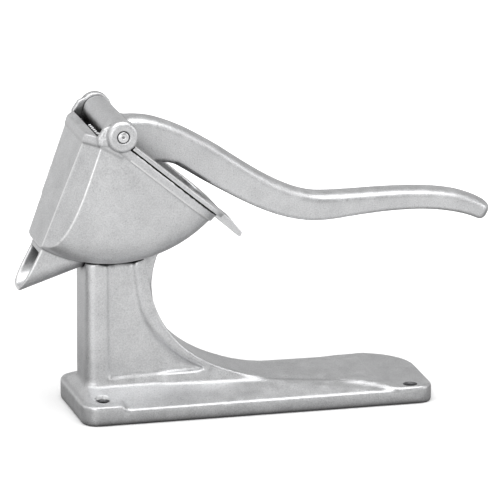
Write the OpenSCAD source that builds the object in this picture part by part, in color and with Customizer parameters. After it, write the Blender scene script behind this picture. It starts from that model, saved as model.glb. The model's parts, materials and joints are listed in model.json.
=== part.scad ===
// Hand lever citrus press: a cast stand carries a bowl-shaped hopper with a
// drop-in strainer, and a hinged lever swings a press plate against the
// strainer's slotted front. Millimetres, +Z up, +X towards the lever's grip.
// The origin is on the table, under the middle of the base plate.

/* [Base plate] */
// Length of the base plate
base_l = 252; // [235:1:285]
// Width of the base plate
base_w = 94; // [88:1:110]
// Height of the base plate's side wall
edge_h = 10.5; // [9:0.5:12]
// Height of the flat bolt pads beside the column
pad_h = 14; // [13:0.5:16]
// Height of the plate's end under the lever's grip
end_h = 12.5; // [12:0.5:14]
// Radius of the base plate's near corners
corner_r = 12; // [8:1:16]
// Radius of the far corner behind the column
far_corner_r = 20; // [12:1:26]
// Radius of the base plate's unbolted corner
free_corner_r = 38.5; // [30:0.5:44]
// Diameter of the bolt holes
bolt_d = 7; // [5:0.5:9]
// Distance from the plate's ends to the bolt holes
bolt_inset_x = 16; // [13:0.5:20]
// Distance from the plate's sides to the holes beside the column
bolt_inset_y = 14.5; // [11:0.5:17]
// Distance from the plate's near side to the hole under the grip
end_inset_y = 8; // [7.5:0.5:14]

/* [Column and deck] */
// Place of the column's front face from the base's middle
column_front = -118; // [-122:1:-114]
// Width across the column's rounded front
column_w = 37; // [33:1:42]
// Depth of the recessed panel in each side of the column
panel_depth = 2.5; // [1.5:0.5:4]
// Thickness of the curved flange behind the panel
flange_t = 10; // [8:1:14]
// Thickness of the web between the flange and the bowl
web_t = 5; // [4:0.5:8]
// Width of the flange where it turns into the deck
deck_waist = 44; // [40:1:50]
// Width of the deck just before it spreads to the full plate
deck_w = 76; // [70:1:82]
// Height of the deck at its lowest stretch
deck_h = 17; // [16:0.5:20]
// Height of the sloping floor at the foot of the column
floor_h = 21; // [18:0.5:24]

/* [Hopper] */
// Height of the hinge axis above the table
hinge_h = 206.5; // [195:1:220]
// Place of the hinge axis from the base's middle
hinge_x = -97.5; // [-101:0.5:-94]
// Outer radius of the bowl's bottom about the hinge axis
bowl_r = 98.6; // [92:0.2:106]
// Outer width of the bowl
bowl_w = 83; // [78:1:90]
// Thickness of the cast walls
wall = 3.2; // [2.6:0.2:4]
// Lean of the front wall from upright
front_lean = 20.9; // [18:0.1:24]
// Distance from the hinge axis to the front wall's outer face
front_gap = 20.4; // [19.8:0.2:23]
// Distance from the hinge axis to the corner facets
facet_gap = 31.5; // [30:0.1:33]
// Turn of the corner facets from the front wall
facet_turn = 30.7; // [27:0.1:35]
// Tilt of the corner facets along the front wall
facet_tilt = 2.2; // [0:0.1:4]
// Slope of the mouth below level
mouth_slope = 40.3; // [36:0.1:44]
// Height of the proud band round the rim
band_h = 5.6; // [4:0.2:7]
// How far the rim band stands proud of the bowl
band_t = 1; // [0.6:0.1:1.6]
// Width of the spout
spout_w = 28; // [24:1:30]
// Slope of the spout's floor
spout_slope = 18; // [14:1:22]
// Lean of the spout's cut-off front from upright
spout_lean = 26; // [22:1:30]
// Height of the front wall's lower edge, over the spout
spout_top = 118; // [114:1:122]

/* [Hinge] */
// Diameter of the round ears
ear_d = 22; // [20:0.5:24]
// How far each ear stands out from the bowl's side
ear_out = 4.5; // [3.5:0.25:6]
// Diameter of the hinge pin
pin_d = 8; // [7:0.5:10]
// Diameter of the lever's barrel between the ears
barrel_d = 19.6; // [18:0.2:20]
// Side gap between the barrel and each ear
barrel_gap = 0.6; // [0.4:0.1:1]

/* [Strainer] */
// Thickness of the strainer's walls
strainer_t = 2; // [1.6:0.2:2.4]
// Juice space under the strainer's bottom
juice_gap = 3; // [2.4:0.2:4]
// Number of slots in the strainer's front
slot_n = 11; // [7:2:13]
// Pitch of the slots
slot_pitch = 4.5; // [4:0.1:5]
// Width of one slot
slot_w = 2; // [1.4:0.1:2.4]
// Thickness of the strainer's rim flange
flange_rim_t = 3.2; // [2.4:0.2:4]
// How far the lifting tab stands out from the flange
tab_l = 25; // [18:1:32]
// Width of the lifting tab
tab_w = 22; // [16:1:30]

/* [Lever] */
// Width of the lever's arm
arm_w = 22; // [18:1:26]
// Height of the domed top of the arm's section
arm_dome = 6; // [4:0.5:7]
// Thickness of the press plate
plate_t = 5; // [4:0.5:6]
// Number of ribs on the press plate's face
rib_n = 10; // [6:1:12]

/* [Clearances] */
// Clearance between castings that are fastened together
seat_gap = 0.3; // [0.2:0.05:0.5]
// Running clearance of the pin, on the diameter
pin_clear = 0.1; // [0.06:0.02:0.16]
// Clearance of the press plate inside the strainer
plate_clear = 1.2; // [0.8:0.1:2]

/* [Hidden] */
$fn = 96;
big = 400;
half_base = base_l / 2;
ears_w = bowl_w + 2 * ear_out;
ear_t = ear_out + wall + 1.3;
ear_in = ears_w / 2 - ear_t;
ear_round = 3;
rim_top = hinge_h - 0.5;
lip_extra = 3;
seat_h = 1;
seat_inset = 2.2;
lip_drop = flange_rim_t + seat_h;
screw_d = 5;
screw_clear = 0.4;
thread_clear = 0.1;
screw_head_d = 9.6;
screw_head_h = 2.6;
screw_turn = 30;
key_d = 3;
key_depth = 1.5;
strainer_side = bowl_w / 2 - ear_in + 0.6;
strainer_r_in = wall + juice_gap;
strainer_front = wall + lip_extra + 0.6;
rib_h = 2;
rib_w = 1.8;
plate_front = front_gap - strainer_front - strainer_t - plate_clear;
plate_back = plate_front - rib_h - plate_t;
column_top = 122;
flange_x = -70.5;
pin_end = 3;
ring_t = 0.9;
ring_gap = 0.4;
bolt_x = half_base - bolt_inset_x;
bolt_y = base_w / 2 - bolt_inset_y;

// Points of an arc about c, from angle a0 to angle a1
function arc(c, r, a0, a1, n = 12) =
    [for (i = [0 : n]) let (a = a0 + (a1 - a0) * i / n) c + r * [cos(a), sin(a)]];

// Point at t on the cubic curve with control points p
function bezier(p, t) =
    pow(1 - t, 3) * p[0] + 3 * t * pow(1 - t, 2) * p[1]
    + 3 * t * t * (1 - t) * p[2] + pow(t, 3) * p[3];

function curve(p, n) = [for (i = [0 : n]) bezier(p, i / n)];

// Half outline of a round-cornered bowl: full radius r on the axis, half width w
function bowl_outline(r, w, n = 36, k = 4) =
    [for (i = [0 : n])
        let (a = -90 + 180 * i / n, s = sin(a), c = cos(a))
        [r * pow(abs(c), 2 / k), w * sign(s) * pow(abs(s), 2 / k)]];

module at_hinge() {
    translate([hinge_x, 0, hinge_h]) children();
}

// Local +X points out of the front wall and local +Z down along it
module front_frame() {
    at_hinge() rotate([0, 180 + front_lean, 0]) children();
}

// Local +X runs down the mouth's slope and local +Z out of the mouth
module mouth_frame() {
    at_hinge() rotate([0, mouth_slope, 0]) children();
}

module across(w) {
    rotate([90, 0, 0]) linear_extrude(w, center = true) children();
}

// Solid inside the bowl's surfaces, each moved in by its own distance
module chamber(in_r, in_w, in_front) {
    intersection() {
        at_hinge() rotate([90, 0, 0]) rotate([0, 0, -190])
            rotate_extrude(angle = 165)
                polygon(bowl_outline(bowl_r - in_r, bowl_w / 2 - in_w));
        front_frame() translate([-big, -big / 2, -big / 2])
            cube([big + front_gap - in_front, big, big]);
        facet_side(1, in_front);
        facet_side(-1, in_front);
    }
}

module facet_side(side, inset) {
    front_frame() rotate([0, -facet_tilt, side * facet_turn])
        translate([-big, -big / 2, -big / 2])
            cube([big + facet_gap - inset, big, big]);
}

// Everything under the rim: level in front of the hinge, sloping behind it
module under_rim(drop = 0) {
    intersection() {
        translate([-big / 2, -big / 2, -big]) cube([big, big, big + rim_top - drop]);
        mouth_frame() translate([-big, -big / 2, -big])
            cube([2 * big, big, big - lip_drop - drop]);
    }
}

module stand() {
    color("silver") difference() {
        union() {
            linear_extrude(edge_h) base_outline();
            sloping_floor();
            bolt_pads();
            column();
        }
        bolt_holes();
        screw_places() translate([0, 0, bowl_r / 2])
            cylinder(d = screw_d + thread_clear, h = bowl_r / 2 + 20);
    }
}

// Column and deck; the top is hollowed to the bowl and the spout that lie on it
module column() {
    difference() {
        intersection() {
            across(base_w + 2) column_profile();
            linear_extrude(hinge_h) column_plan();
        }
        for (side = [-1, 1]) panel_recess(side);
        bowl_seat();
    }
    difference() {
        back_web();
        bowl_seat();
    }
}

module bowl_seat() {
    at_hinge() rotate([90, 0, 0]) rotate_extrude()
        polygon(bowl_outline(bowl_r + seat_gap, bowl_w / 2 + seat_gap));
    translate([0, 0, -seat_gap]) spout_body(spout_w / 2 + seat_gap);
}

// Flat pads on both sides of the column, as far as a little past its front
module bolt_pads() {
    pad_l = 30;
    intersection() {
        linear_extrude(pad_h) base_outline();
        translate([-half_base - 1, -base_w, -1]) cube([pad_l, 2 * base_w, pad_h + 2]);
    }
}

module base_outline() {
    x = half_base;
    y = base_w / 2;
    polygon(concat(
        arc([corner_r - x, corner_r - y], corner_r, 180, 270),
        arc([x - corner_r, corner_r - y], corner_r, 270, 360),
        arc([x - free_corner_r, y - free_corner_r], free_corner_r, 0, 90, 18),
        arc([far_corner_r - x, y - far_corner_r], far_corner_r, 90, 180)));
}

// Top of the plate falls from the foot of the column and deck to the edges
module sloping_floor() {
    foot_w = column_w - 2 * panel_depth;
    foot_l = 96;
    hull() {
        linear_extrude(edge_h) intersection() {
            base_outline();
            translate([-half_base - 1, -base_w]) square([base_l - 30, 2 * base_w]);
        }
        translate([column_front, -foot_w / 2, 0]) cube([foot_l, foot_w, floor_h]);
        translate([0, 2 - deck_waist / 2, 0]) cube([88, deck_waist - 4, deck_h - 1]);
    }
}

// Side view of the column, its curved back, the deck and the falling end
module column_profile() {
    polygon(concat(
        [[column_front, 0], [half_base, 0], [half_base, end_h]],
        curve([[102, end_h], [96, end_h], [88, deck_h - 0.4], [60, deck_h]], 12),
        curve([[40, deck_h], [0, deck_h + 1.4], [-57, 30], [flange_x, 82]], 20),
        curve([[flange_x - 0.4, 85], [-73, 95], [-75, 104], [-78, column_top]], 6),
        [[column_front, column_top]]));
}

// Thin web in the middle, from the back of the flange up to the bowl
module back_web() {
    across(web_t) polygon(concat(
        curve([[-60, 58], [-68, 75], [-70, 95], [-61, 112]], 10),
        [[-58, column_top - 2], [-80, column_top - 2], [-80, 60]]));
}

// Plan of the column, the flange and the deck, one side mirrored to the other
module column_plan() {
    nose = 7;
    side = concat(
        arc([column_front + nose, column_w / 2 - nose], nose, 180, 90, 8),
        [[flange_x, column_w / 2], [-58, deck_waist / 2 - 2], [0, deck_waist / 2]],
        curve([[10, deck_waist / 2 + 1], [45, deck_waist / 2 + 2],
               [70, deck_w / 2 - 8], [86, deck_w / 2]], 8),
        curve([[88, deck_w / 2 + 1], [92, deck_w / 2 + 4], [97, deck_w / 2 + 8],
               [103, base_w / 2 + 2]], 6),
        [[half_base, base_w / 2 + 2]]);
    intersection() {
        polygon(concat(side, [for (i = [len(side) - 1 : -1 : 0]) [side[i].x, -side[i].y]]));
        base_outline();
    }
}

// Shallow panel between the rounded front, the flange and the floor
module panel_recess(side) {
    front = column_front + 15;
    translate([0, side * (column_w / 2 + 6 - panel_depth), 0]) across(12)
        polygon(concat(
            [[front, floor_h + 4], [front, column_top + 2],
             [-76 - flange_t, column_top + 2]],
            [for (i = [8 : -1 : 0]) bezier([[-30, 28], [-50, 34],
                [3 + flange_x - flange_t, 56], [flange_x - flange_t, 84]], i / 8)]));
}

// Two holes beside the column and one under the lever's grip
module bolt_holes() {
    for (p = [[-bolt_x, -bolt_y], [-bolt_x, bolt_y], [bolt_x, end_inset_y - base_w / 2]])
        translate([p.x, p.y, -1]) cylinder(d = bolt_d, h = floor_h + 2);
}

// The two screws that hold the hopper on the column point at the hinge axis
module screw_places() {
    for (a = [-96, -85])
        at_hinge() rotate([0, 90 - a, 0]) rotate([0, 0, screw_turn]) children();
}

module hopper() {
    color("gainsboro") difference() {
        union() {
            intersection() {
                chamber(0, 0, 0);
                under_rim();
            }
            rim_band();
            spout_body(spout_w / 2);
            for (side = [-1, 1]) ear(side);
        }
        intersection() {
            chamber(wall, wall, wall);
            under_rim(band_h);
        }
        rim_opening();
        spout_channel();
        ear_bores();
        screw_places() {
            translate([0, 0, bowl_r / 2])
                cylinder(d = screw_d + screw_clear, h = bowl_r / 2 + 2);
            translate([0, 0, bowl_r - wall - 0.6])
                cylinder(d1 = screw_head_d + 1.4, d2 = screw_d + screw_clear, h = screw_head_h + 0.9);
        }
    }
}

module rim_band() {
    intersection() {
        chamber(-band_t, -band_t, -band_t);
        difference() {
            under_rim();
            under_rim(band_h);
        }
    }
}

// The mouth is a little narrower in front, where the rim is thick
module rim_opening() {
    intersection() {
        chamber(wall, wall, wall + lip_extra);
        translate([-big / 2, -big / 2, hinge_h - bowl_r]) cube([big, big, big]);
    }
}

// Round ear with a softened rim, and the web that runs up to it from the lip
module ear(side) {
    at_hinge() rotate([side * 90, 0, 0]) translate([0, 0, -ears_w / 2]) rotate_extrude()
        polygon(concat([[0, ear_t], [0, 0]],
            arc([ear_d / 2 - ear_round, ear_round], ear_round, -90, 0, 6),
            [[ear_d / 2, ear_t]]));
    at_hinge() translate([0, side * (ear_in + (bowl_w / 2 - ear_in) / 2), 0])
        across(bowl_w / 2 - ear_in)
            polygon([[-17, -6], [-17, -0.5], [-12.6, 6], [-8, 8], [8, -8], [0, -16]]);
}

module ear_bores() {
    recess = 1.2;
    at_hinge() rotate([90, 0, 0]) {
        cylinder(d = pin_d + pin_clear, h = ears_w + 2, center = true);
        translate([0, 0, ears_w / 2 - recess]) cylinder(d = pin_d + 1.4, h = recess + 1);
        cylinder(d = barrel_d + 2 * barrel_gap, h = 2 * ear_in, center = true);
    }
}

// Spout section: round bottom, straight open sides
module spout_section(r) {
    translate([0, r]) circle(r);
    translate([-r, r]) square([2 * r, 40]);
}

// Local +X runs up the spout's floor into the bowl
module spout_frame() {
    translate([-115.2, 0, hinge_h - bowl_r - 3.1]) rotate([0, -spout_slope, 0]) children();
}

// Channel that starts in the bowl's bottom and ends at a rounded, leaning cut
module spout_body(r) {
    difference() {
        intersection() {
            spout_frame() translate([-70, 0, 0]) rotate([90, 0, 90])
                linear_extrude(85) spout_section(r);
            across(spout_w + 2) spout_profile();
        }
        at_hinge() rotate([90, 0, 0])
            cylinder(r = bowl_r - wall / 2, h = big, center = true);
    }
}

// Side view of the spout: front wall's line, leaning cut, round tip, floor
module spout_profile() {
    tip_r = 3;
    tip = [-160.6, 91.8];
    top = [-150.4, spout_top];
    polygon(concat(
        [[-90, spout_top - 14], [-90, spout_top + 20],
         top + 20 * [tan(front_lean), 1], top],
        arc(tip, tip_r, 180 - spout_lean, 270 + spout_slope, 8)));
}

module spout_channel() {
    opening_h = 20;
    r = spout_w / 2 - wall;
    spout_frame() translate([-75, 0, wall]) rotate([90, 0, 90])
        linear_extrude(72) intersection() {
            spout_section(r);
            translate([-r, 0]) square([2 * r, opening_h]);
        }
}

module hopper_screws() {
    color("gray") screw_places() {
        translate([0, 0, bowl_r - wall]) difference() {
            cylinder(d1 = screw_head_d, d2 = screw_d, h = screw_head_h);
            translate([0, 0, -1]) cylinder(d = key_d, h = key_depth + 1, $fn = 6);
        }
        translate([0, 0, bowl_r - wall + screw_head_h]) cylinder(d = screw_d, h = 16);
    }
}

module strainer() {
    color("whitesmoke") {
        difference() {
            union() {
                difference() {
                    intersection() {
                        chamber(strainer_r_in, strainer_side, strainer_front);
                        under_rim();
                    }
                    strainer_inside();
                }
                rim_flange();
                lifting_tab();
            }
            at_hinge() rotate([90, 0, 0])
                cylinder(d = ear_d + 2.4, h = big, center = true);
            front_slots();
            floor_slots();
        }
    }
}

module strainer_inside() {
    chamber(strainer_r_in + strainer_t, strainer_side + strainer_t,
        strainer_front + strainer_t);
}

// Flat rim that lies on the hopper's lip, on a narrow raised seat
module rim_flange() {
    end_reach = 2.4;
    flange_start = 10;
    mouth_frame() difference() {
        union() {
            translate([0, 0, -flange_rim_t]) linear_extrude(flange_rim_t)
                polygon(bowl_outline(bowl_r + end_reach, bowl_w / 2 + band_t, k = 6));
            translate([0, 0, -lip_drop]) linear_extrude(lip_drop)
                polygon(bowl_outline(bowl_r - seat_inset, bowl_w / 2 - seat_inset));
        }
        translate([0, 0, -lip_drop - 1]) linear_extrude(lip_drop + 2)
            polygon(bowl_outline(bowl_r - strainer_r_in - strainer_t,
                bowl_w / 2 - strainer_side - strainer_t));
        translate([-big, -big / 2, -big / 2]) cube([big + flange_start, big, big]);
    }
}

// Tab to lift the strainer by, thinner towards its tip
module lifting_tab() {
    tab_t = 5.7;
    root = bowl_r + band_t + seat_gap;
    end = bowl_r + 2.4 + tab_l;
    mouth_frame() across(tab_w)
        polygon([[root - 3, -flange_rim_t], [root, -flange_rim_t], [root, -1 - tab_t],
            [end - 1.6, -1.5 - tab_t], [end, -1 - tab_t], [end, -6], [end - 1, -3.2],
            [end - 9.4, -1.6], [end - 11.7, -1], [root - 3, -1]]);
}

module front_slots() {
    for (i = [0 : slot_n - 1])
        front_frame()
            translate([front_gap - strainer_front - strainer_t - 3,
                       (i - (slot_n - 1) / 2) * slot_pitch - slot_w / 2, -30])
                cube([strainer_t + 6, slot_w, bowl_r - strainer_r_in + 6]);
}

// Slots in the bottom run round the hinge axis
module floor_slots() {
    r_in = bowl_r - strainer_r_in - strainer_t - 1;
    for (i = [0 : slot_n - 1])
        at_hinge() rotate([90, 0, 0])
            translate([0, 0, (i - (slot_n - 1) / 2) * slot_pitch])
                rotate([0, 0, -112]) rotate_extrude(angle = 34)
                    translate([r_in, -slot_w / 2]) square([strainer_t + 2, slot_w]);
}

module hinge_pin() {
    color("lightgray") at_hinge() rotate([90, 0, 0]) difference() {
        union() {
            translate([0, 0, -ears_w / 2 - pin_end])
                cylinder(d = pin_d, h = ears_w + pin_end - 0.6);
            translate([0, 0, ears_w / 2 - 0.6]) cylinder(d1 = pin_d, d2 = pin_d - 1.4, h = 0.9);
        }
        translate([0, 0, ears_w / 2 - 0.6]) cylinder(d1 = 0.4, d2 = 2.2, h = 1);
        translate([0, 0, -ears_w / 2 - ring_gap - ring_t - 0.1]) rotate_extrude()
            translate([pin_d / 2 - 0.6, 0]) square([2, ring_t + 0.2]);
    }
}

// Open ring that snaps into the groove behind the far ear
module retaining_ring() {
    ring_w = 3;
    opening = 3.2;
    color("dimgray") at_hinge() rotate([90, 0, 0])
        translate([0, 0, -ears_w / 2 - ring_gap - ring_t]) difference() {
            cylinder(d = pin_d + 2 * ring_w, h = ring_t);
            translate([0, 0, -1]) cylinder(d = pin_d - 1, h = ring_t + 2);
            translate([-opening / 2, -pin_d, -1]) cube([opening, pin_d, ring_t + 2]);
        }
}

// Centre line of the arm in side view, two curves end to end
arm_start = [-93, 202];
arm_low = [57, 136.6];
arm_end = [170, 126.5];
function arm_line() = concat(
    curve([arm_start, [-46, 202.5], [6, 135.5], arm_low], 24),
    [for (i = [1 : 20]) bezier([arm_low, [85, 136.8], [140, 144], arm_end], i / 20)]);

// Half height of the arm at equal steps along it
arm_half = [8, 11.3, 12.6, 12.9, 11.9, 11, 10, 9.2, 8.2, 7.6, 7.3, 7.3, 6.6];
function arm_h(s) =
    let (x = s * (len(arm_half) - 1), i = min(floor(x), len(arm_half) - 2))
    arm_half[i] + (arm_half[i + 1] - arm_half[i]) * (x - i);

// One section of the arm: domed top, flat sides, softly cornered underside
function arm_section(h, w) =
    let (d = min(arm_dome, h * 0.7), r = min(3, h / 2, w / 2))
    concat(
        [for (i = [0 : 12]) let (a = 180 * i / 12)
            [w * sign(cos(a)) * pow(abs(cos(a)), 0.7), h - d + d * pow(sin(a), 0.9)]],
        [for (i = [0 : 4]) let (a = 180 + 22.5 * i) [r - w + r * cos(a), r - h + r * sin(a)]],
        [for (i = [0 : 4]) let (a = 270 + 22.5 * i) [w - r + r * cos(a), r - h + r * sin(a)]]);

// The arm is a skin over its sections, closed by a rounded tip
module arm() {
    line = arm_line();
    n = len(line) - 1;
    cap = 8;
    tip_l = 7;
    way = line[n] - line[n - 1];
    dir = way / norm(way);
    rings = concat(
        [for (i = [0 : n])
            let (d = (line[min(i + 1, n)] - line[max(i - 1, 0)]))
            [line[i], d / norm(d), arm_h(i / n), arm_w / 2]],
        [for (i = [1 : cap])
            let (a = 90 * i / cap, k = max(cos(a), 0.05))
            [line[n] + dir * tip_l * sin(a), dir, arm_h(1) * k,
             arm_w / 2 * (0.45 + 0.55 * k) * k]]);
    m = len(arm_section(5, 5));
    points = [for (ring = rings) for (p = arm_section(ring[2], ring[3]))
        [ring[0].x - ring[1].y * p.y, p.x, ring[0].y + ring[1].x * p.y]];
    k = len(rings);
    faces = concat(
        [[for (j = [0 : m - 1]) j]],
        [for (i = [0 : k - 2]) for (j = [0 : m - 1])
            [i * m + j, (i + 1) * m + j, (i + 1) * m + (j + 1) % m, i * m + (j + 1) % m]],
        [[for (j = [m - 1 : -1 : 0]) (k - 1) * m + j]]);
    polyhedron(points, faces, convexity = 6);
}

module lever() {
    color("silver") difference() {
        union() {
            arm();
            at_hinge() rotate([90, 0, 0])
                cylinder(d = barrel_d, h = 2 * (ear_in - barrel_gap), center = true);
            tail();
            gusset();
        }
        at_hinge() rotate([90, 0, 0]) cylinder(d = pin_d + pin_clear, h = big, center = true);
        plate_screw_places() cylinder(d = screw_d + thread_clear, h = 30, center = true);
    }
}

// Rounded web that fills the corner between the arm's underside and the tail
module gusset() {
    across(arm_w - 0.2)
        polygon(concat([[-100, 198], [-50, 184]],
            curve([[-50, 174.2], [-59, 178], [-68, 178.5], [-80, 174]], 8),
            curve([[-81, 173.5], [-92, 169], [-100, 164], [-108, 156]], 8),
            [[-115, 160]]));
}

// Tail that hangs from the barrel behind the press plate
module tail() {
    front_frame() translate([plate_back, 0, 0]) across(arm_w)
        polygon([[0, 0], [0, 62], [-5, 62], [-9, 50], [-14, 12], [-10, 0]]);
}

module press_plate() {
    color("gainsboro") difference() {
        intersection() {
            chamber(strainer_r_in + strainer_t + plate_clear,
                strainer_side + strainer_t + plate_clear,
                strainer_front + strainer_t + plate_clear);
            union() {
                front_frame() translate([plate_back, -bowl_w / 2, 12])
                    cube([plate_t, bowl_w, bowl_r]);
                plate_ribs();
            }
        }
        plate_screw_places() {
            cylinder(d = screw_d + screw_clear, h = 40, center = true);
            translate([0, 0, plate_t - screw_head_h - 0.2])
                cylinder(d1 = screw_d + screw_clear, d2 = screw_head_d + 0.6, h = screw_head_h + 0.3);
            translate([0, 0, plate_t]) cylinder(d = screw_head_d + 0.6, h = rib_h + 1);
        }
    }
}

module plate_ribs() {
    for (i = [0 : rib_n - 1])
        front_frame()
            translate([plate_back + plate_t - 0.5,
                       (i - (rib_n - 1) / 2) * slot_pitch - rib_w / 2, 16])
                cube([rib_h + 0.5, rib_w, bowl_r]);
}

module plate_screw_places() {
    for (z = [28, 50])
        front_frame() translate([plate_back, 0, z]) rotate([0, 90, 0]) children();
}

module plate_screws() {
    color("gray") plate_screw_places() {
        translate([0, 0, plate_t - screw_head_h - 0.2]) difference() {
            cylinder(d1 = screw_d, d2 = screw_head_d, h = screw_head_h);
            translate([0, 0, screw_head_h - key_depth]) cylinder(d = key_d, h = 2, $fn = 6);
        }
        translate([0, 0, -8]) cylinder(d = screw_d, h = 8 + plate_t - screw_head_h - 0.2);
    }
}

stand();
hopper();
hopper_screws();
strainer();
hinge_pin();
retaining_ring();
lever();
press_plate();
plate_screws();
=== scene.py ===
# %% [markdown]
# # Hand lever citrus press
# The press is five aluminium castings and a few small steel parts. The packed
# CAD model gives every casting its true place and size, but its edges are as
# sharp as a drawing. A real sand casting has no sharp edge: the metal flows into
# rounded corners, and a tumbler full of pebbles then wears the ridges bright.
# The script keeps the CAD shapes, softens them as casting does, and lights them.

import json
import math
from collections import namedtuple

import bmesh
import bpy
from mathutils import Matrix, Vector
from mathutils.kdtree import KDTree


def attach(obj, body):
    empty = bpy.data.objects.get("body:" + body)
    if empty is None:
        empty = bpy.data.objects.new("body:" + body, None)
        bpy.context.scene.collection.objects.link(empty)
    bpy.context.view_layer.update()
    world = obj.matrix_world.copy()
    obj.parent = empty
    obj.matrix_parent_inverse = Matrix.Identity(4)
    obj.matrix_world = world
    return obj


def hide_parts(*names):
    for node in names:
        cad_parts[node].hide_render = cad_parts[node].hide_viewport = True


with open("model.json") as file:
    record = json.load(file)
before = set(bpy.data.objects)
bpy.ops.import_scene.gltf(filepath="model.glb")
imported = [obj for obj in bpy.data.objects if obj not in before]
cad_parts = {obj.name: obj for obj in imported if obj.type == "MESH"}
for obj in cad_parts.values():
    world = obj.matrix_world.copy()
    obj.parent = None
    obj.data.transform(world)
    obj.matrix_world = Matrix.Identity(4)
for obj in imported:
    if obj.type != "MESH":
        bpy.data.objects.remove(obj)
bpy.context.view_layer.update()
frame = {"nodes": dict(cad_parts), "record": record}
MM = 0.001
BEHAVIOUR = frame["record"]["behaviour"]
HINGE = Vector(BEHAVIOUR["joints"][0]["pos_m"])
print("nodes:", sorted(frame["nodes"]))
print("hinge axis at", [round(v / MM, 2) for v in HINGE], "mm")

# %% [markdown]
# ## Camera
# The photograph was taken from far away with a long lens: the near and far ears
# are nearly the same size. A camera six metres away with a long focal length
# gives the same flat perspective. It looks down a little and comes from the
# spout's side.

# %% Camera at the photograph's angle
CAMERA_TURN = math.radians(-14.3)
CAMERA_RISE = math.radians(15.7)
CAMERA_DISTANCE = 6.0
SCENE_WIDTH = 0.35
SENSOR_WIDTH = 36
LOOK_AT = Vector((0.004, 0.0, 0.1067))

towards_camera = Vector((
    math.sin(CAMERA_TURN) * math.cos(CAMERA_RISE),
    -math.cos(CAMERA_TURN) * math.cos(CAMERA_RISE),
    math.sin(CAMERA_RISE)))
camera = bpy.data.objects.new("camera", bpy.data.cameras.new("camera"))
bpy.context.scene.collection.objects.link(camera)
camera.location = LOOK_AT + CAMERA_DISTANCE * towards_camera
camera.rotation_euler = towards_camera.to_track_quat("Z", "Y").to_euler()
camera.data.sensor_width = SENSOR_WIDTH
camera.data.lens = SENSOR_WIDTH * CAMERA_DISTANCE / SCENE_WIDTH
camera.data.clip_end = 50
bpy.context.scene.camera = camera
bpy.context.scene.view_settings.view_transform = "Standard"
print("focal length:", round(camera.data.lens), "mm")

# %% [markdown]
# ## Building a material from nodes
# A material here is a small chain of nodes: a noise or a measured value gives a
# number between 0 and 1, a map range stretches it, and the result mixes two
# colours or lifts the surface. These helpers each add one link of such a chain
# and return its output, so that a material reads from top to bottom.

# %% One node, a noise and a stretched value
def node(tree, kind, **settings):
    """A new node. Each setting names one of its inputs or, failing that, a property."""
    made = tree.nodes.new(kind)
    for key, value in settings.items():
        if key in made.inputs:
            made.inputs[key].default_value = value
        else:
            setattr(made, key, value)
    return made


def noise(tree, where, scale, detail=3.0, roughness=0.5):
    """A cloudy value whose spots are about 1 / scale metres wide."""
    texture = node(tree, "ShaderNodeTexNoise", Scale=scale, Detail=detail, Roughness=roughness)
    tree.links.new(where, texture.inputs["Vector"])
    return texture.outputs["Fac"]


def remap(tree, value, low, high, to_low=0.0, to_high=1.0, curve="LINEAR"):
    """Stretches the span from low to high onto another one, and holds it there."""
    changed = node(tree, "ShaderNodeMapRange", clamp=True, interpolation_type=curve)
    for name, number in (("From Min", low), ("From Max", high), ("To Min", to_low), ("To Max", to_high)):
        changed.inputs[name].default_value = number
    tree.links.new(value, changed.inputs["Value"])
    return changed.outputs["Result"]


# %% [markdown]
# ### Joining links
# Two values are added or multiplied, and two colours are mixed by a value. A
# bump uses a value as a height. It only tilts the reflections a little and moves
# no point, which is enough for grain and other detail that has no outline.

# %% Sums, mixes and bumps
def combine(tree, first, second, operation="ADD"):
    """Sum or product of a value and either another value or a plain number."""
    joined = node(tree, "ShaderNodeMath", operation=operation)
    tree.links.new(first, joined.inputs[0])
    if isinstance(second, float):
        joined.inputs[1].default_value = second
    else:
        tree.links.new(second, joined.inputs[1])
    return joined.outputs["Value"]


def blend_colour(tree, amount, first, second):
    """The first colour where the amount is 0 and the second where it is 1."""
    mixed = node(tree, "ShaderNodeMix", data_type="RGBA")
    tree.links.new(amount, mixed.inputs["Factor"])
    for socket, colour in ((mixed.inputs[6], first), (mixed.inputs[7], second)):
        if isinstance(colour, tuple):
            socket.default_value = (*colour, 1.0)
        else:
            tree.links.new(colour, socket)
    return mixed.outputs[2]


def bump(tree, height, distance, strength=1.0, under=None):
    """Raises the surface in looks only. A coarser bump can lie under it."""
    made = node(tree, "ShaderNodeBump", Strength=strength, Distance=distance)
    tree.links.new(height, made.inputs["Height"])
    if under:
        tree.links.new(under, made.inputs["Normal"])
    return made.outputs["Normal"]


def openness(tree, reach):
    """How much of the surroundings a point sees within the reach: 0 deep in a gap."""
    made = node(tree, "ShaderNodeAmbientOcclusion", samples=8)
    made.inputs["Distance"].default_value = reach
    return made.outputs["AO"]


def new_metal(name):
    """A bare metal, its tree, its surface node and the place on the object."""
    made = bpy.data.materials.new(name)
    made.use_nodes = True
    tree = made.node_tree
    skin = tree.nodes["Principled BSDF"]
    skin.inputs["Metallic"].default_value = 1.0
    where = node(tree, "ShaderNodeTexCoord").outputs["Object"]
    return made, tree, skin, where


def times(colour, factor):
    """The same colour, darker or lighter."""
    return tuple(factor * c for c in colour)


print("half of white:", times((1.0, 1.0, 1.0), 0.5))
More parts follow.
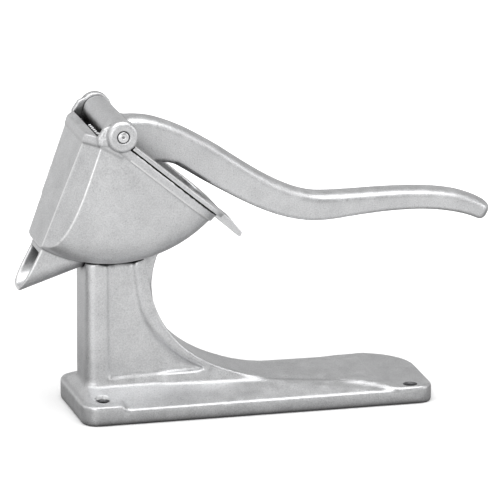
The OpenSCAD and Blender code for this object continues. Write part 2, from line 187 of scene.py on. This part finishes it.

# %% [markdown]
# ## Cast aluminium
# Tumbled aluminium is a grey metal with a satin skin. Close up it has three
# scales of variation: cloudy patches a few centimetres wide, a fine grain from
# the sand mould, and bright worn ridges, which are partly real wear and partly a
# painted highlight. Clouds, patches, grain and pits are noise textures on object
# coordinates. The ridges and hollows come from two values, "ridge" and "hollow",
# that are measured on each casting further down; the hollows get painted shade.
# Deep gaps, such as the seam under the strainer's flange, get painted shade: the
# more of the surroundings is hidden from them, the darker they are painted.

# %% The castings' material
# Most values of a noise lie in the wide span, and the narrow one gives clearer spots.
WIDE, NARROW = (0.3, 0.7), (0.35, 0.65)
PIT_SPAN, GAP_SPAN = (0.24, 0.34), (0.08, 0.8)
CLOUD_SCALE, CLOUD_SHARE = 38, 0.25
PATCH_SCALE, PATCH_SHARE = 150, 0.2
GRAIN_SCALE, GRAIN_SHARE = 1100, 0.6
PIT_SCALE, PIT_DARKNESS = 620, 0.3
GRAIN_DEPTH, SWELL_DEPTH = 0.18 * MM, 0.5 * MM
HOLLOW_SHADE_DARKNESS = 0.5
# How dark the painted shade in deep gaps gets.
GAP_SHADE_DARKNESS = 0.92
WORN_GLOSS = -0.1


def cast_alloy(name, dull, light, worn_and_highlight, rough=0.4, grain=1.0, reach=14 * MM):
    """The painted shade in gaps starts where something stands closer than the reach."""
    made, tree, skin, where = new_metal(name)
    clouds = noise(tree, where, CLOUD_SCALE, 4)
    patches = noise(tree, where, PATCH_SCALE, 3, 0.6)
    grains = noise(tree, where, GRAIN_SCALE, 2, 0.6)
    pits = noise(tree, where, PIT_SCALE, 1)
    ridge = node(tree, "ShaderNodeAttribute", attribute_name="ridge").outputs["Fac"]
    hollow = node(tree, "ShaderNodeAttribute", attribute_name="hollow").outputs["Fac"]

    tone = combine(tree, remap(tree, clouds, *NARROW, 0.0, CLOUD_SHARE),
                   remap(tree, patches, *WIDE, 0.0, PATCH_SHARE))
    tone = combine(tree, tone, remap(tree, grains, *WIDE, 0.0, GRAIN_SHARE))
    colour = blend_colour(tree, tone, dull, light)
    pitted = remap(tree, pits, *PIT_SPAN, PIT_DARKNESS, 0.0)
    colour = blend_colour(tree, pitted, colour, times(dull, 0.5))
    # Painted shade in the inner corners, from the measured "hollow" value.
    shaded = combine(tree, hollow, HOLLOW_SHADE_DARKNESS, "MULTIPLY")
    colour = blend_colour(tree, shaded, colour, times(dull, 0.5))
    # Ridges turn bright: partly real wear, partly a painted highlight.
    colour = blend_colour(tree, ridge, colour, worn_and_highlight)
    # Painted shade: the less of its surroundings a point sees, the darker it is painted.
    painted_gap_shade = remap(tree, openness(tree, reach), *GAP_SPAN, GAP_SHADE_DARKNESS, 0.0, "SMOOTHSTEP")
    colour = blend_colour(tree, painted_gap_shade, colour, times(dull, 0.06))
    tree.links.new(colour, skin.inputs["Base Color"])

    gloss = combine(tree, remap(tree, patches, *WIDE, rough - 0.05, rough + 0.07),
                    remap(tree, ridge, 0.0, 1.0, 0.0, WORN_GLOSS))
    tree.links.new(gloss, skin.inputs["Roughness"])
    swell = bump(tree, patches, SWELL_DEPTH, 0.3)
    tree.links.new(bump(tree, grains, GRAIN_DEPTH * grain, 0.8, swell), skin.inputs["Normal"])
    return made


DULL, LIGHT, WORN_AND_HIGHLIGHT = (0.52, 0.523, 0.53), (0.8, 0.803, 0.81), (1.0, 1.0, 1.0)
body_alloy = cast_alloy("tumbled_cast_alloy", DULL, LIGHT, WORN_AND_HIGHLIGHT)
# The wider reaches paint shade deeper into the hopper's spout and the strainer's inside.
hopper_alloy = cast_alloy("hopper_alloy", DULL, LIGHT, WORN_AND_HIGHLIGHT, reach=24 * MM)
strainer_alloy = cast_alloy("strainer_alloy", DULL, LIGHT, WORN_AND_HIGHLIGHT, rough=0.36, grain=0.7, reach=45 * MM)
print("materials:", [m.name for m in bpy.data.materials])

# %% [markdown]
# ## Bright turned steel
# The hinge pin's end is turned on a lathe, so it carries fine rings round its
# axis. The rings are a wave of the distance from the hinge axis. A narrow gap
# round the pin still has to look black, so it gets the same painted shade as the
# castings.

# %% The pin's and screws' material
RING_WAVES = 18000.0
RING_DEPTH = 0.005 * MM
STAIN_SCALE = 420
STEEL_GAP, STEEL_GAP_SPAN, STEEL_GAP_DARKNESS = 2 * MM, (0.3, 0.9), 0.9


def turned_steel(name, colour, rough):
    """Rings about the hinge axis, faint stains and painted shade in the gaps."""
    made, tree, skin, where = new_metal(name)
    shifted = node(tree, "ShaderNodeMapping", vector_type="POINT")
    shifted.inputs["Location"].default_value = (-HINGE.x, 0.0, -HINGE.z)
    shifted.inputs["Scale"].default_value = (1.0, 0.0, 1.0)
    tree.links.new(where, shifted.inputs["Vector"])
    away = node(tree, "ShaderNodeVectorMath", operation="LENGTH")
    tree.links.new(shifted.outputs["Vector"], away.inputs[0])
    rings = node(tree, "ShaderNodeMath", operation="SINE")
    tree.links.new(combine(tree, away.outputs["Value"], RING_WAVES, "MULTIPLY"), rings.inputs[0])

    stains = noise(tree, where, STAIN_SCALE, 3)
    metal = blend_colour(tree, remap(tree, stains, *NARROW), times(colour, 0.85), colour)
    # Painted shade: a point that sees little of its surroundings is painted nearly black.
    seen = openness(tree, STEEL_GAP)
    painted_gap_shade = remap(tree, seen, *STEEL_GAP_SPAN, STEEL_GAP_DARKNESS, 0.0, "SMOOTHSTEP")
    tree.links.new(blend_colour(tree, painted_gap_shade, metal, times(colour, 0.08)), skin.inputs["Base Color"])
    tree.links.new(remap(tree, stains, *WIDE, rough, rough + 0.12), skin.inputs["Roughness"])
    tree.links.new(bump(tree, rings.outputs["Value"], RING_DEPTH, 0.4), skin.inputs["Normal"])
    return made


pin_steel = turned_steel("turned_pin_steel", (0.88, 0.88, 0.89), 0.26)
screw_steel = turned_steel("screw_steel", (0.6, 0.6, 0.61), 0.3)
ring_steel = turned_steel("dark_spring_steel", (0.2, 0.2, 0.21), 0.38)
print("steels:", pin_steel.name, screw_steel.name, ring_steel.name)

# %% [markdown]
# ## Where a casting has edges
# The CAD solids still know every sharp edge. Two faces that meet at more than a
# least angle form a ridge if the metal bulges there and an inner corner if it
# doesn't. Points are laid along both kinds, and every point of the dressed
# casting then looks up how far the nearest ridge and inner corner are. A ridge's
# shine is partly real wear and partly a painted highlight. A tumbler can't reach
# everything, so edges beside the ears take no shine and those of the lip only a
# little.

# %% A node's solid, with its loose triangles joined
JOIN = 0.001 * MM


def solid_of(part):
    """A copy of a node's mesh, ready to be changed."""
    bm = bmesh.new()
    bm.from_mesh(frame["nodes"][part].data)
    bmesh.ops.remove_doubles(bm, verts=bm.verts, dist=JOIN)
    return bm


# %% Points along a node's ridges and inner corners
# Edges within the ear zone's radius of the hinge axis and past its start along it
# stay dull. The lip's edges lie at most its depth under the axis, in front of it.
EDGE_SPACING = 0.5 * MM
EAR_ZONE_RADIUS, EAR_ZONE_START = 19 * MM, 34 * MM
LIP_DEPTH, LIP_START, LIP_SHINE = 16 * MM, 8 * MM, 0.2
FULL_CORNER_DEGREES = 40
NOWHERE = Vector((9, 9, 9))


def along(edges):
    """Points laid along (edge, strength) pairs, with the strength at each point."""
    places, strengths = [NOWHERE], [0.0]
    for edge, strength in edges:
        start, end = (v.co for v in edge.verts)
        steps = max(1, round((end - start).length / EDGE_SPACING))
        places += [start.lerp(end, i / steps) for i in range(steps + 1)]
        strengths += [strength] * (steps + 1)
    tree = KDTree(len(places))
    for index, place in enumerate(places):
        tree.insert(place, index)
    tree.balance()
    return tree, strengths


def wear_and_highlight_share(edge):
    """The share of the worn shine and painted highlight that an edge gets."""
    off = (edge.verts[0].co + edge.verts[1].co) / 2 - HINGE
    if math.hypot(off.x, off.z) < EAR_ZONE_RADIUS and abs(off.y) > EAR_ZONE_START:
        return 0.0
    if off.z > -LIP_DEPTH and off.x < -LIP_START:
        return LIP_SHINE
    return 1.0


def sharp_edges(bm, least, shine):
    """Ridges and inner corners that turn by more than the least angle, in degrees."""
    turned = [(e, math.degrees(e.calc_face_angle_signed(0.0))) for e in bm.edges if len(e.link_faces) == 2]
    ridges = [(e, shine * wear_and_highlight_share(e)) for e, angle in turned if angle > least]
    corners = [(e, min(1.0, (-angle - least) / FULL_CORNER_DEGREES)) for e, angle in turned if angle < -least]
    return along(ridges), along(corners)


def near(line, place, reach):
    """The line's strength on it, falling softly to 0 at about twice the reach."""
    tree, strengths = line
    _, index, away = tree.find(place)
    return strengths[index] * math.exp(-(away / reach) ** 2)


probe = solid_of("lever")
(_, on_ridges), (_, in_corners) = sharp_edges(probe, 25, 1.0)
probe.free()
print("lever:", len(on_ridges), "points on ridges,", len(in_corners), "in corners")

# %% [markdown]
# ## Cutting a piece
# Some details are sharper or finer than a soft skin can carry: the open corners
# of the mouth and the drilled bolt holes. A boolean with a plain box or cylinder
# cuts them. The box cuts before the skin is laid, so its edges get softened, and
# the drills cut after it, so that theirs stay crisp.

# %% Boxes, rods and the cut itself
ROD_STEPS = 64


def finished(piece):
    """Applies the modifiers, so that the piece is a plain mesh."""
    ready = bpy.data.meshes.new_from_object(piece.evaluated_get(bpy.context.evaluated_depsgraph_get()))
    piece.modifiers.clear()
    piece.data = ready
    return piece


def new_piece(name, bm):
    """Turns a bmesh into an object and lets the bmesh go."""
    mesh = bpy.data.meshes.new(name)
    bm.to_mesh(mesh)
    bm.free()
    piece = bpy.data.objects.new(name, mesh)
    bpy.context.scene.collection.objects.link(piece)
    return piece


def add_box(bm, low, high):
    """A box between two corners, in millimetres."""
    made = bmesh.ops.create_cube(bm, size=MM)["verts"]
    bmesh.ops.scale(bm, verts=made, vec=[b - a for a, b in zip(low, high)])
    bmesh.ops.translate(bm, verts=made, vec=[(a + b) / 2 * MM for a, b in zip(low, high)])


def add_rod(bm, x, y, low, high, radius):
    """An upright cylinder, in millimetres."""
    made = bmesh.ops.create_cone(bm, cap_ends=True, segments=ROD_STEPS, depth=(high - low) * MM,
                                 radius1=radius * MM, radius2=radius * MM)["verts"]
    bmesh.ops.translate(bm, verts=made, vec=Vector((x, y, (low + high) / 2)) * MM)


def cut_away(piece, bm, solver):
    """Removes what lies inside the shapes in bm."""
    cutter = new_piece("cutter", bm)
    cut = piece.modifiers.new("cut", "BOOLEAN")
    cut.operation = "DIFFERENCE"
    cut.solver = solver
    cut.object = cutter
    finished(piece)
    bpy.data.objects.remove(cutter)


# %% The mouth's open corners and the strainer's lowered comb
# The mouth is open as far as the ears' webs, and the far half of the strainer's
# comb ends a little under the lip. Each box is given by two corners, in mm.
OPENED = {"hopper": ((-113.5, -37, 196.5), (-100, 37, 208)),
          "strainer": ((-116, -2, 202), (-100, 43, 208))}


def open_mouth(piece, part):
    """Cuts the part's box out of the piece."""
    box = bmesh.new()
    add_box(box, *OPENED[part])
    cut_away(piece, box, "EXACT")


print("opened:", sorted(OPENED))

# %% [markdown]
# ## Bolt holes in the stand
# The skin would round the holes' edges away. They are therefore plugged before
# the skin is laid and drilled again at the end. Their places come from the
# record's mounts. Only the height of the pads beside the column is typed here.

# %% Places of the bolt holes, in mm: x, y and the height of the pad
MOUNTS = {mount["name"]: mount for mount in frame["record"]["mounts"]}
COLUMN_PAD = 14.0
column, grip = MOUNTS["column_bolts"], MOUNTS["grip_end_bolt"]
HOLES = [(column["pos_m"][0] / MM, side * column["dims"]["spacing_y_mm"] / 2, COLUMN_PAD) for side in (-1, 1)]
HOLES.append((grip["pos_m"][0] / MM, grip["pos_m"][1] / MM, grip["dims"]["length_mm"]))
HOLE_R, SINK_R = grip["dims"]["r_mm"] - 0.05, 4.9
PLUG_SPARE = 0.6
DRILL_BELOW, DRILL_ABOVE = 2, 8
SLIVER = 0.04 * MM


def plug_holes(bm):
    """Fills each hole with a rod a little wider than its drill."""
    for x, y, top in HOLES:
        add_rod(bm, x, y, 0, top, SINK_R + PLUG_SPARE)


def drill_holes(piece):
    """Drills, and then joins the slivers that the cut leaves along its edge."""
    drills = bmesh.new()
    for x, y, top in HOLES:
        add_rod(drills, x, y, -DRILL_BELOW, top + DRILL_ABOVE, SINK_R)
    cut_away(piece, drills, "MANIFOLD")
    bm = bmesh.new()
    bm.from_mesh(piece.data)
    bmesh.ops.triangulate(bm, faces=[f for f in bm.faces if len(f.verts) > 4])
    bmesh.ops.remove_doubles(bm, verts=bm.verts, dist=SLIVER)
    bmesh.ops.dissolve_degenerate(bm, dist=SLIVER, edges=bm.edges)
    bm.to_mesh(piece.data)
    bm.free()


print("bolt holes:", [(round(x, 1), round(y, 1)) for x, y, _ in HOLES])

# %% [markdown]
# ## Softening a casting
# A voxel remesh turns the solid into an even skin of small squares. A few rounds
# of smoothing then round the outer edges, and many more rounds, only close to
# the inner corners, fill those as a mould's fillets do. A bevel would need clean
# edges all round, which a body cut by curved surfaces doesn't have.

# %% Skin, fillets and smoothing
# voxel: side of the skin's squares, mm        rounds: rounds of smoothing all over
# fillet: reach of the inner fillets, mm       fillet_rounds: extra rounds in them
# line: reach of a worn edge's shine, mm       least: smallest angle of an edge, degrees
# shine: how bright worn edges and their painted highlight are   keep: share of the faces that is kept
Softness = namedtuple("Softness", "voxel rounds fillet fillet_rounds line least shine keep")
HALF_WAY = 0.5
LEAST_WEIGHT = 0.02


def lay_skin(piece, voxel):
    """One closed skin over the solid, also where several solids overlap."""
    skin = piece.modifiers.new("skin", "REMESH")
    skin.mode = "VOXEL"
    skin.voxel_size = voxel * MM
    finished(piece)


def smooth(piece, name, rounds, group=""):
    """Each round moves a point half of the way to the middle of its neighbours."""
    made = piece.modifiers.new(name, "SMOOTH")
    made.factor = HALF_WAY
    made.iterations = rounds
    made.vertex_group = group


def fill_corners(piece, corners, soft):
    """Smooths close to the inner corners only, more strongly the closer a point is."""
    group = piece.vertex_groups.new(name="corners")
    for point in piece.data.vertices:
        weight = near(corners, point.co, soft.fillet * MM)
        if weight > LEAST_WEIGHT:
            group.add([point.index], weight, "REPLACE")
    smooth(piece, "fill", soft.fillet_rounds, group.name)


def soften(piece, corners, soft):
    """Fillets first, then all edges, and then fewer faces where the metal is flat."""
    if soft.fillet_rounds:
        fill_corners(piece, corners, soft)
    smooth(piece, "soft", soft.rounds)
    if soft.keep < 1.0:
        thin = piece.modifiers.new("thin", "DECIMATE")
        thin.ratio = soft.keep
    finished(piece)
    piece.vertex_groups.clear()


# %% [markdown]
# ## Worn ridges with a painted highlight, and corners with painted shade
# The material needs to know where the ridges and corners are, so each point of
# the mesh carries both values. The corners are painted with shade, and the ridges
# with their wear and a painted highlight. On the hopper the facets' edges are more
# than bright: they stand up as thin beads, so its points are also raised there. The
# spout's rim is left as it is, because the spout's tip is the press's front end.

# %% Values on every point, and the hopper's beads
HOLLOW_WIDTH = 1.5
BEAD = 0.5 * MM
SPOUT_X = -140 * MM


def mark_edges(mesh, ridges, corners, line):
    """Writes both values on every point, for the material to read."""
    for title, lines, reach in (("ridge", ridges, line), ("hollow", corners, HOLLOW_WIDTH * line)):
        values = [near(lines, point.co, reach * MM) for point in mesh.vertices]
        mesh.attributes.new(title, "FLOAT", "POINT").data.foreach_set("value", values)


def raise_beads(mesh, ridges, line):
    """Moves the points on a ridge outwards, all at once after all are worked out."""
    raised = [v.co + v.normal * (near(ridges, v.co, line * MM) * BEAD) if v.co.x > SPOUT_X else v.co
              for v in mesh.vertices]
    mesh.vertices.foreach_set("co", [number for place in raised for number in place])
    mesh.update()


# %% [markdown]
# ## The castings
# The stand is the thickest casting, with the widest fillets. The hopper is a thin
# shell whose corner facets stay crisp, so its skin is finer and less smoothed.
# The strainer needs the finest skin, because its slots are only 2 mm wide. The
# lever is held in the hand all day, so it is the roundest.

# %% One casting from one node
def casting(name, part, soft):
    """The node's solid with a soft skin, its holes and the values of its edges."""
    bm = solid_of(part)
    ridges, corners = sharp_edges(bm, soft.least, soft.shine)
    if part == "stand":
        plug_holes(bm)
    piece = new_piece(name, bm)
    if part in OPENED:
        open_mouth(piece, part)
    lay_skin(piece, soft.voxel)
    soften(piece, corners, soft)
    if part == "stand":
        drill_holes(piece)
    mark_edges(piece.data, ridges, corners, soft.line)
    if part == "hopper":
        raise_beads(piece.data, ridges, soft.line)
    piece.data.shade_smooth()
    print(name, "points:", len(piece.data.vertices))
    return piece


# %% Stand, hopper, strainer, lever and press plate
castings = {
    "cast_stand": ("stand", Softness(1.15, 9, 3.5, 40, 0.9, 25, 0.1, 1.0), body_alloy),
    "cast_hopper": ("hopper", Softness(0.8, 3, 1.5, 4, 0.7, 14, 1.0, 0.75), hopper_alloy),
    "cast_strainer": ("strainer", Softness(0.6, 2, 0, 0, 0.6, 25, 0.5, 0.5), strainer_alloy),
    "cast_lever": ("lever", Softness(1.0, 18, 4.0, 30, 0.8, 25, 0.35, 1.0), body_alloy),
    "cast_press_plate": ("press_plate", Softness(0.8, 3, 0, 0, 0.7, 25, 0.5, 0.7), body_alloy),
}
body_of = {part: body for body, parts in BEHAVIOUR["bodies"].items() for part in parts}


for name, (part, soft, alloy) in castings.items():
    piece = casting(name, part, soft)
    piece.data.materials.clear()
    piece.data.materials.append(alloy)
    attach(piece, body_of[part])
    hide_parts(part)

# %% [markdown]
# ## Spinning turned parts
# Everything round on the press was turned or drilled: the ears' faces, the holes
# and the pin. Each is drawn as half an outline and spun once round its axis,
# which gives cleaner circles than the skin of a casting can.

# %% Spin an outline
SPIN_STEPS = 72
SEAM = 0.002 * MM


def spun(name, outline, centre, axis):
    """Spins a line of points once round an axis; all in metres."""
    bm = bmesh.new()
    points = [bm.verts.new(place) for place in outline]
    edges = [bm.edges.new(pair) for pair in zip(points, points[1:])]
    bmesh.ops.spin(bm, geom=points + edges, cent=centre, axis=axis, angle=2 * math.pi,
                   steps=SPIN_STEPS, use_merge=True)
    bmesh.ops.remove_doubles(bm, verts=bm.verts, dist=SEAM)
    bmesh.ops.recalc_face_normals(bm, faces=bm.faces)
    piece = new_piece(name, bm)
    piece.data.shade_smooth()
    return piece


def turned(name, outline):
    """Spins (radius, y) points, in millimetres, about the hinge axis."""
    return spun(name, [(HINGE.x + radius * MM, y * MM, HINGE.z) for radius, y in outline], HINGE, (0, 1, 0))


def arc(centre, radius, start, end, steps):
    """Points of a rounded corner between two angles, in degrees."""
    turns = [math.radians(start + (end - start) * i / steps) for i in range(steps + 1)]
    return [(centre[0] + radius * math.cos(a), centre[1] + radius * math.sin(a)) for a in turns]


# %% [markdown]
# ## Ears
# The pin is held in two round ears. Their faces have a soft outer rim, a flat,
# and a narrow groove round the pin's end, which shows as a black circle.

# %% Near and far ear
EAR_R, EAR_FACE, EAR_BACK = 11.0, 46.0, 37.05
EAR_ROUND, EAR_CHAMFER = 3.2, 0.6
GROOVE_R, GROOVE_ROUND, GROOVE_DEPTH = 5.0, 0.45, 2.3
EAR_BORE_R = 4.05


def ear_outline():
    """Half of an ear, as (radius, y): rim, face, groove, bore and back."""
    rim = arc((EAR_R - EAR_ROUND, EAR_FACE - EAR_ROUND), EAR_ROUND, 0, 86, 8)
    groove = arc((GROOVE_R + 0.5, EAR_FACE - 0.5), GROOVE_ROUND, 90, 180, 4)
    bottom = [(GROOVE_R, EAR_FACE - GROOVE_DEPTH), (EAR_BORE_R, EAR_FACE - GROOVE_DEPTH)]
    back = [(EAR_BORE_R, EAR_BACK), (EAR_R - EAR_CHAMFER, EAR_BACK), (EAR_R, EAR_BACK + EAR_CHAMFER)]
    return rim + groove + bottom + back + rim[:1]


for side, name in ((-1, "near_ear"), (1, "far_ear")):
    ear = turned(name, [(radius, side * y) for radius, y in ear_outline()])
    ear.data.materials.append(body_alloy)
    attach(ear, "press_body")
print("ears:", 2 * EAR_R, "mm across")

# %% [markdown]
# ## Linings of the bolt holes
# A drilled hole has a narrow countersink and a wall. Both lie in the hole's shade,
# which is painted on them as a near-black colour. Two rings make them: one for the
# countersink, which closes the gap that the drill left, and one for the wall below
# it. Outlines are (radius, height over the pad), in mm.

# %% Countersinks and walls
# Painted shade: the hole's wall and countersink are coloured nearly black.
shaded_hole_wall = cast_alloy("drilled_hole_wall_painted_shade", (0.1, 0.1, 0.105), (0.2, 0.2, 0.205), (0.4, 0.4, 0.4), rough=0.5)
shaded_countersink = cast_alloy("countersunk_rim_painted_shade", (0.09, 0.09, 0.095), (0.16, 0.16, 0.165), (0.5, 0.5, 0.5),
                        rough=0.45, reach=8 * MM)
SINK_DEPTH = SINK_R - HOLE_R


def sink_outline():
    """A small lip, the slope down to the hole, and a closed back in the metal."""
    rim = [(SINK_R + 0.5, -0.3), (SINK_R + 0.1, 0.06), (SINK_R - 0.2, -0.05), (HOLE_R, -SINK_DEPTH),
           (HOLE_R - 0.02, -SINK_DEPTH - 0.6), (SINK_R + 0.5, -SINK_DEPTH - 0.6)]
    return rim + rim[:1]


def wall_outline(top):
    """The straight wall from the slope down to just over the floor."""
    wall = [(HOLE_R, -SINK_DEPTH - 0.2), (HOLE_R, 0.8 - top),
            (SINK_R + 0.3, 0.4 - top), (SINK_R + 0.3, -SINK_DEPTH - 0.4)]
    return wall + wall[:1]


for number, (x, y, top) in enumerate(HOLES, 1):
    linings = (("rim", sink_outline(), shaded_countersink), ("wall", wall_outline(top), shaded_hole_wall))
    for title, outline, metal in linings:
        places = [Vector((x + radius, y, top + height)) * MM for radius, height in outline]
        ring = spun(f"bolt_hole_{title}_{number}", places, Vector((x, y, 0)) * MM, (0, 0, 1))
        ring.data.materials.append(metal)
        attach(ring, "press_body")
print("linings:", 2 * len(HOLES))

# %% [markdown]
# ## Hinge pin
# The pin is a plain turned rod. Its near end is slightly domed and has the
# little centre dimple that the lathe's centre leaves. The far end has a groove
# with an open spring ring, which keeps the pin in.

# %% The pin, from its dimpled end to its grooved end
# Dimple and dome are (radius, depth behind the near end), all in mm.
PIN_R, PIN_NEAR, PIN_FAR = 4.0, -46.3, 49.0
DIMPLE = ((0.0, 1.6), (0.7, 1.1), (1.1, 0.35), (1.6, 0.05))
DOME = ((2.2, 0.1), (2.9, 0.4))
DOME_EDGE = 1.0
RING_GROOVE = (46.35, 47.35)
RING_GROOVE_DEPTH = 0.6

near_end = [(radius, PIN_NEAR + depth) for radius, depth in DIMPLE + DOME]
near_end += arc((PIN_R - DOME_EDGE, PIN_NEAR + 1.45), DOME_EDGE, -80, 0, 5)
groove = [(PIN_R, RING_GROOVE[0] - 0.05), (PIN_R - RING_GROOVE_DEPTH, RING_GROOVE[0]),
          (PIN_R - RING_GROOVE_DEPTH, RING_GROOVE[1]), (PIN_R, RING_GROOVE[1] + 0.05)]
far_end = [(PIN_R, PIN_FAR - 0.6), (PIN_R - 0.6, PIN_FAR), (0.0, PIN_FAR)]
pin = turned("turned_pin", near_end + groove + far_end)
pin.data.materials.append(pin_steel)
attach(pin, "press_body")
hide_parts("hinge_pin")
print("pin:", round(PIN_FAR - PIN_NEAR, 1), "mm long")

# %% [markdown]
# ## Screws and spring ring
# They are small and hidden in the gaps, so they keep their CAD shape and only
# get a real finish.

# %% Steel on the small parts
small_parts = {"hopper_screws": screw_steel, "plate_screws": screw_steel, "retaining_ring": ring_steel}
for part, steel in small_parts.items():
    mesh = frame["nodes"][part].data
    mesh.materials.clear()
    mesh.materials.append(steel)
print("steel parts:", sorted(small_parts))

# %% [markdown]
# ## Floor
# The press stands on white paper that takes its shadow. Seen directly, the paper
# glows a little more the farther it is from the press, so that it fades into
# plain white, and hardly at all in the shade right under it. Metal shows what lies
# around it, so a reflection sees the floor painted for it: bright in front,
# middling behind and dim under the press, which gives the metal its contrast.

# %% Paper that the camera and the metal see differently
GLOW_NEAR, GLOW_FAR = 0.15, 0.6
GLOW_START, GLOW_END = 0.1, 0.6
SHADE_REACH = 45 * MM
FLOOR_UNDER, FLOOR_FRONT, FLOOR_BEHIND = 0.3, 0.92, 0.72
FRONT_START, FRONT_END = -0.04, -0.12
BEHIND_START, BEHIND_END = 0.02, 0.3
PAPER_WHITE = (0.86, 0.86, 0.86, 1)


def seen_paper(tree, place, is_camera):
    """Paper in its own light and shade, with the glow that only the camera sees."""
    away = node(tree, "ShaderNodeVectorMath", operation="LENGTH")
    tree.links.new(place, away.inputs[0])
    glow = remap(tree, away.outputs["Value"], GLOW_START, GLOW_END, GLOW_NEAR, GLOW_FAR, "SMOOTHSTEP")
    glow = combine(tree, glow, openness(tree, SHADE_REACH), "MULTIPLY")
    shine = node(tree, "ShaderNodeEmission")
    tree.links.new(combine(tree, is_camera, glow, "MULTIPLY"), shine.inputs["Strength"])
    sheet = node(tree, "ShaderNodeBsdfDiffuse", Color=PAPER_WHITE)
    both = node(tree, "ShaderNodeAddShader")
    tree.links.new(sheet.outputs[0], both.inputs[0])
    tree.links.new(shine.outputs[0], both.inputs[1])
    return both.outputs[0]


def mirrored_paper(tree, place):
    """The brightness that the metal reflects, by how far in front or behind it lies."""
    parts = node(tree, "ShaderNodeSeparateXYZ")
    tree.links.new(place, parts.inputs[0])
    depth = parts.outputs["Y"]
    front = remap(tree, depth, FRONT_END, FRONT_START, FLOOR_FRONT, FLOOR_UNDER, "SMOOTHSTEP")
    behind = remap(tree, depth, BEHIND_START, BEHIND_END, 0.0, FLOOR_BEHIND - FLOOR_UNDER, "SMOOTHSTEP")
    paint = node(tree, "ShaderNodeEmission")
    tree.links.new(combine(tree, front, behind), paint.inputs["Strength"])
    return paint.outputs[0]


def white_paper():
    """Chooses between the two by the kind of ray that meets the floor."""
    made = bpy.data.materials.new("white_paper")
    made.use_nodes = True
    tree = made.node_tree
    tree.nodes.clear()
    place = node(tree, "ShaderNodeTexCoord").outputs["Object"]
    path = node(tree, "ShaderNodeLightPath")
    chosen = node(tree, "ShaderNodeMixShader")
    tree.links.new(path.outputs["Is Glossy Ray"], chosen.inputs[0])
    tree.links.new(seen_paper(tree, place, path.outputs["Is Camera Ray"]), chosen.inputs[1])
    tree.links.new(mirrored_paper(tree, place), chosen.inputs[2])
    tree.links.new(chosen.outputs[0], node(tree, "ShaderNodeOutputMaterial").inputs["Surface"])
    return made


# %% Floor, a hair under the base
FLOOR_SIZE = 8
FLOOR_DROP = 0.2 * MM
floor_bm = bmesh.new()
bmesh.ops.create_grid(floor_bm, x_segments=1, y_segments=1, size=FLOOR_SIZE)
bmesh.ops.translate(floor_bm, verts=floor_bm.verts, vec=(0, 0, -FLOOR_DROP))
floor = new_piece("floor", floor_bm)
floor.data.materials.append(white_paper())
print("floor:", [round(v, 1) for v in floor.dimensions])

# %% [markdown]
# ## Studio walls
# The room is plain white to the camera. The metal sees pale grey walls, lighter
# on the spout's side, where the hopper's front wall and facets look.

# %% World
WALL_LEFT, WALL_RIGHT = 0.85, 0.5
world = bpy.data.worlds.new("studio")
bpy.context.scene.world = world
world.use_nodes = True
tree = world.node_tree
parts = node(tree, "ShaderNodeSeparateXYZ")
tree.links.new(node(tree, "ShaderNodeTexCoord").outputs["Generated"], parts.inputs[0])
across = remap(tree, parts.outputs["X"], -0.9, 0.1, 0.0, 1.0, "SMOOTHSTEP")
walls = blend_colour(tree, across, (WALL_LEFT,) * 3, (WALL_RIGHT,) * 3)
is_camera = node(tree, "ShaderNodeLightPath").outputs["Is Camera Ray"]
white = blend_colour(tree, is_camera, walls, (1.0, 1.0, 1.0))
tree.links.new(white, tree.nodes["Background"].inputs["Color"])
print("walls:", WALL_LEFT, "to", WALL_RIGHT)

# %% [markdown]
# ## Soft lamps
# A wide ceiling light gives the arm and the deck their broad highlights. Two
# weaker ones, from the front left and from the right, model the bowl.

# %% Three soft boxes
AIM = Vector((0.0, 0.0, 0.12))


def softbox(name, place, aim, width, height, power):
    """A rectangular lamp in metres and watts, turned towards its aim."""
    lamp = bpy.data.lights.new(name, "AREA")
    lamp.shape = "RECTANGLE"
    lamp.size = width
    lamp.size_y = height
    lamp.energy = power
    held = bpy.data.objects.new(name, lamp)
    bpy.context.scene.collection.objects.link(held)
    held.location = place
    held.rotation_euler = (Vector(place) - aim).to_track_quat("Z", "Y").to_euler()


softbox("top_light", (-0.1, -0.2, 1.5), Vector((0.0, 0.0, 0.1)), 2.2, 1.5, 23)
softbox("front_light", (-0.9, -1.5, 0.5), AIM, 0.9, 0.8, 5)
softbox("side_light", (1.4, -0.8, 0.6), AIM, 0.8, 0.8, 4)
